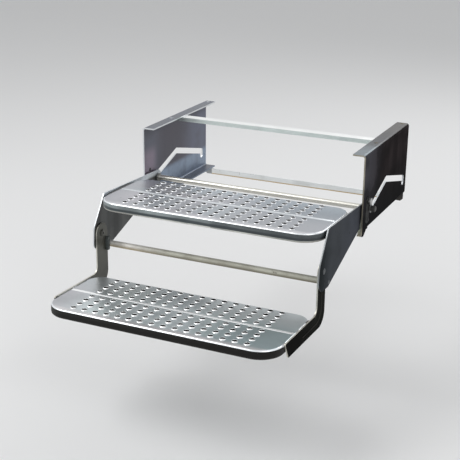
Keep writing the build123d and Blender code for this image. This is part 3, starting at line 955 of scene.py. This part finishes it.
def bracket_zone(place, normal):
    """Finish 0 inner web, 1 flanges, 2 cut edges and fixing holes, 3 slot walls, 4 outer web."""
    on_flange = place.z > -hole_wall_depth and abs(place.x) < web_inside - hole_wall_inset
    if on_flange and abs(normal.z) < steep:
        return 2
    if abs(normal.x) > facing:
        return 4 if normal.x * place.x > 0 else 0
    if abs(normal.z) > facing and at_flange(place.z, flange_face_depth):
        return 1
    if slot_front < place.y < slot_rear and slot_foot < place.z < slot_head:
        return 3
    if abs(normal.y) > end_face:
        return 2
    return 1 if at_flange(place.z, flange_bend_depth) else 2


def from_line(place, points):
    """Distance of a place from a broken line given as (y, z) points, seen along X."""
    spot = Vector((place.y, place.z))
    nearest = []
    for start, end in zip(points, points[1:]):
        run = Vector(end) - Vector(start)
        along = max(0.0, min(1.0, (spot - Vector(start)).dot(run) / run.length_squared))
        nearest.append((spot - Vector(start) - run * along).length)
    return min(nearest)


def arm_zone(place, normal):
    """Finish 0 inner side, 1 cut edge, 2 slopes of the pressed groove, 3 outer side."""
    if abs(normal.x) > facing:
        return 3 if normal.x * place.x > 0 else 0
    return 2 if from_line(place, groove_line) < groove_half_width else 1


def cheek_zone(place, normal):
    """Finish 0 inner side, 1 edge in front of the brackets, 2 edge between them in painted shade, 3
    outer side.
    """
    if abs(normal.x) > facing:
        return 3 if normal.x * place.x > 0 else 0
    return 1 if place.y < cheek_edge_in_shadow else 2


def rear_bar_zone(place, normal):
    """Finish 0 bright bar, 1 right ear in painted shadow, 2 tan lower edge, 3 left ear."""
    if abs(place.x) > ear_start:
        return 1 if place.x > 0 else 3
    return 2 if normal.z < -facing else 0


def top_bar_zone(place, normal):
    """Finish 0 upright leg in a greener painted shade, 1 sides that look up in painted light."""
    return 1 if normal.z > looks_up else 0


def sheet_piece(node, finishes, zone=plate_zone, cuts=()):
    """Dresses a softened copy of a CAD node."""
    piece = softened(node, cuts=cuts)
    paint(piece, finishes, zone)
    dress(piece, node)


sheet_piece("left_bracket", [web_left, flange_left, cut_edge, cut_edge, outer_zinc], bracket_zone)
sheet_piece("right_bracket", [web_right, flange_right, cut_beige, cut_edge, web_right],
            bracket_zone)
sheet_piece("left_cheek", [cheek_left, cut_edge, cut_grey, outer_zinc], cheek_zone)
sheet_piece("right_cheek", [cheek_right, cut_grey, dark_fasteners, cheek_right], cheek_zone)
sheet_piece("left_arm", [arm_left, cut_light, arm_left_outer, arm_left_outer], arm_zone)
sheet_piece("right_arm", [arm_right, cut_light, groove_zinc, arm_right], arm_zone)
sheet_piece("top_cross_bar", [bar_leg, lit_bar_top], top_bar_zone)
sheet_piece("rear_cross_bar", [rear_bar_zinc, bar_end_shadow, bar_tan, cut_grey], rear_bar_zone,
            (-ear_cut, ear_cut))
sheet_piece("left_glide_block", [left_plastic, left_plastic])
sheet_piece("right_glide_block", [right_plastic, right_plastic])
sheet_piece("left_clamp_strap", [fasteners, fasteners])
sheet_piece("right_clamp_strap", [right_strap_shade, fasteners])
sheet_piece("left_stop_block", [block_zinc, block_zinc])
sheet_piece("right_stop_block", [block_zinc, block_zinc])


# ---------------------------------------------------------------- round pieces and fasteners

# Each is turned from rings of (x, radius), on the right, and mirrored where it has a twin
shaft_radius = 0.0060
shaft_tip_radius = 0.0044
shaft_taper = 0.0012


def shaft_zone(place, normal):
    """Finish 0 between the brackets, 1 outside them, painted darker as shade."""
    return 1 if abs(place.x) > web_outside else 0


shaft_rings = both_ends([(web_outside, shaft_radius), (shaft_end - shaft_taper, shaft_radius),
                         (shaft_end, shaft_tip_radius)])
dressed_round(turned("slide_shaft_piece", shaft_rings, shaft), "slide_shaft",
              [shaft_zinc, shaft_end_painted_shade], shaft_zone)

stop_radius = 0.0065
stop_end_radius = 0.0061
spigot_radius = 0.0040
spigot_tip_radius = 0.0031
spigot_end = cheek_outside + 0.001
stop_taper = 0.0005


def stop_zone(place, normal):
    """Finish 0 bar between the cheeks, 1 riveted ends of its spigots."""
    return 1 if abs(place.x) > cheek_inside else 0


stop_rings = both_ends([(cheek_inside - stop_taper, stop_radius), (cheek_inside, stop_end_radius),
                        (cheek_inside, spigot_radius), (spigot_end - stop_taper, spigot_radius),
                        (spigot_end, spigot_tip_radius)])
dressed_round(turned("stop_bar_piece", stop_rings, stop_bar), "stop_bar",
              [stop_zinc, rivet_end_zinc], stop_zone)

shaft_bore = 0.00604
ring_edge = 0.0003
ring_play = 0.0002
ring_radius = 0.009
spacer_radius = 0.010
collar_reach = 0.0035
retainer_start = web_outside + 0.0004
retainer_end = web_outside + 0.0019


def sleeve(name, node, start, end, radius, finish):
    """A ring on the shaft, on both sides, with its outer edges broken."""
    rings = [(start, shaft_bore), (start, radius - ring_edge), (start + ring_edge, radius),
             (end - ring_edge, radius), (end, radius - ring_edge), (end, shaft_bore)]
    dressed_round(both_hands(turned(name, rings, shaft, bored=True)), node, [finish])


sleeve("shaft_spacer_pieces", "shaft_spacers", cheek_outside + ring_play, web_inside - ring_play,
       spacer_radius, dark_fasteners)
sleeve("shaft_collar_pieces", "shaft_collars", cheek_inside - collar_reach,
       cheek_inside - ring_play, ring_radius, fasteners)
sleeve("shaft_ring_pieces", "shaft_retaining_rings", retainer_start, retainer_end, ring_radius,
       fasteners)

pin_radius = 0.0050
head_seat = arm_inside - 0.0003
head_height = 0.0024
dimple_depth = 0.0023
dimple_radius = 0.0018
pivot_rings = [(head_seat - 0.0016, 0.0011), (head_seat - head_height, 0.0019),
               (head_seat - head_height, 0.0042), (head_seat - 0.0019, 0.0058),
               (head_seat - 0.0010, 0.0068), (head_seat, 0.0070), (head_seat, pin_radius),
               (cheek_outside, pin_radius), (cheek_outside, 0.0060),
               (cheek_outside + 0.0006, 0.0057), (cheek_outside + 0.0010, 0.0044)]


def pivot_zone(place, normal):
    """Finish 0 head and pin, 1 rivet end outside the cheek, 2 dimple in the head in painted shade.
    """
    if abs(place.x) > cheek_inside:
        return 1
    in_dimple = (place.yz - pivot.yz).length < dimple_radius
    return 2 if abs(place.x) > head_seat - dimple_depth and in_dimple else 0


right_pivot = turned("right_step_pivot_piece", pivot_rings, pivot)
left_pivot = mirrored(right_pivot, "left_step_pivot_piece")
dressed_round(right_pivot, "right_step_pivot", [dark_fasteners, rivet_end_zinc, hole_wall],
              pivot_zone)
dressed_round(left_pivot, "left_step_pivot", [arm_left_outer, rivet_end_zinc, hole_wall],
              pivot_zone)

bolt_radius = 0.0039
washer_radius = 0.0085
washer_face = strap_seat + 0.0016
head_face = high("glide_bolts").x


def bolt_zone(place, normal):
    """Finish 0 shank and washer in painted shade, 1 head, lighter for its plating and a painted
    glint.
    """
    return 1 if abs(place.x) > washer_face else 0


washer_rings = [(web_inside, bolt_radius), (strap_seat, bolt_radius), (strap_seat, washer_radius),
                (washer_face - 0.0004, washer_radius), (washer_face, 0.0080)]
head_rings = [(washer_face, 0.0070), (washer_face + 0.0005, 0.0074), (head_face - 0.0009, 0.0075),
              (head_face, 0.0062)]
bolt_washer = turned("glide_bolt_pieces", washer_rings, bolt)
bolt_head = turned("glide_bolt_head", head_rings, bolt, sides=6)
dressed_round(both_hands(join(bolt_washer, bolt_head)), "glide_bolts", [dark_fasteners, bolt_zinc],
              bolt_zone)

rivet_radius = 0.0025
rivet_face = high("glide_rivets").x
rivet_rings = [(cheek_outside + 0.001, rivet_radius), (strap_seat, rivet_radius),
               (strap_seat, 0.0045), (strap_seat + 0.0007, 0.0043), (rivet_face - 0.0005, 0.0032),
               (rivet_face, 0.0018)]
dressed_round(both_hands(turned("glide_rivet_pieces", rivet_rings, rivet)), "glide_rivets",
              [dark_fasteners])

screw_radius = 0.0019
screw_face = low("right_stop_block").x
screw_rings = [(screw_face - 0.0006, 0.0008), (screw_face - 0.0012, 0.0012),
               (screw_face - 0.0011, 0.0022), (screw_face, 0.0032), (screw_face, screw_radius),
               (arm_inside, screw_radius)]
dressed_round(both_hands(turned("stop_block_screw_pieces", screw_rings, stop_screw)),
              "stop_block_screws", [block_zinc])


# ---------------------------------------------------------------- stage

floor_height = -0.5
floor_size = 30
floor_grey = 0.86
sky_colour = (0.93, 0.94, 0.95, 1.0)
sky_light = 0.55
sky_brighter_when_seen = 0.40


def floor_paint(name, level):
    """The floor's plain pale finish, faintly uneven."""
    finish = Finish(name, 0.0, 0.9)
    cloud = finish.noise(0.8, 2.0)
    return finish.done(finish.shaded((level, level, level, 1.0), 0.99 + cloud * 0.02), 0.9)


deselect()
bpy.ops.mesh.primitive_plane_add(size=floor_size, location=(0, 0, floor_height))
floor = newest("studio_floor")
paint(floor, [floor_paint("floor_paint", floor_grey)])

# The sky looks brighter than the light it gives: to the camera, in reflections and through glass
world = bpy.data.worlds.new("studio_world")
bpy.context.scene.world = world
sky = Shading(world)
rays = [sky.node("ShaderNodeLightPath", {}, {}, ray)
        for ray in ("Is Camera Ray", "Is Glossy Ray", "Is Transmission Ray")]
seen = rays[0].maths("MAXIMUM", rays[0], rays[1].maths("MAXIMUM", rays[1], rays[2]))
background = sky.tree.nodes["Background"]
background.inputs["Color"].default_value = sky_colour
sky.feed(background.inputs["Strength"], sky_light + seen * sky_brighter_when_seen)


def soft_light(name, place, target, size, power):
    """A square area light aimed at a point."""
    lamp = bpy.data.lights.new(name, "AREA")
    lamp.size = size
    lamp.energy = power
    light = bpy.data.objects.new(name, lamp)
    light.location = place
    light.rotation_euler = (Vector(target) - Vector(place)).to_track_quat("-Z", "Y").to_euler()
    bpy.context.collection.objects.link(light)


step_middle = (0, -0.25, -0.1)
bracket_middle = (0, -0.1, -0.1)
soft_light("key_light", (-1.8, -1.6, 2.4), step_middle, size=1.8, power=42)
soft_light("fill_light", (2.2, -1.8, 1.6), step_middle, size=1.6, power=14)
soft_light("rear_light", (0.4, 2.2, 1.8), bracket_middle, size=1.4, power=18)

# The camera stands where the photograph was taken from; its angles are in radians
camera_place = Vector((0.86166, -2.14688, 0.55836))
camera_yaw = 0.434
camera_pitch = 0.3392
camera_roll = 0.0102
ahead = Vector((-sin(camera_yaw) * cos(camera_pitch), cos(camera_yaw) * cos(camera_pitch),
                -sin(camera_pitch)))
level_right = Vector((cos(camera_yaw), sin(camera_yaw), 0))
level_up = level_right.cross(ahead)
right = level_right * cos(camera_roll) + level_up * sin(camera_roll)
up = level_up * cos(camera_roll) - level_right * sin(camera_roll)
lens = bpy.data.cameras.new("studio_camera")
lens.lens = 83.906
lens.sensor_width = 36
lens.clip_start = 0.05
lens.clip_end = 60
camera = bpy.data.objects.new("studio_camera", lens)
camera.matrix_world = Matrix((
    (right.x, up.x, -ahead.x, camera_place.x),
    (right.y, up.y, -ahead.y, camera_place.y),
    (right.z, up.z, -ahead.z, camera_place.z),
    (0, 0, 0, 1),
))
bpy.context.collection.objects.link(camera)
bpy.context.scene.camera = camera
bpy.context.scene.view_settings.view_transform = "Standard"
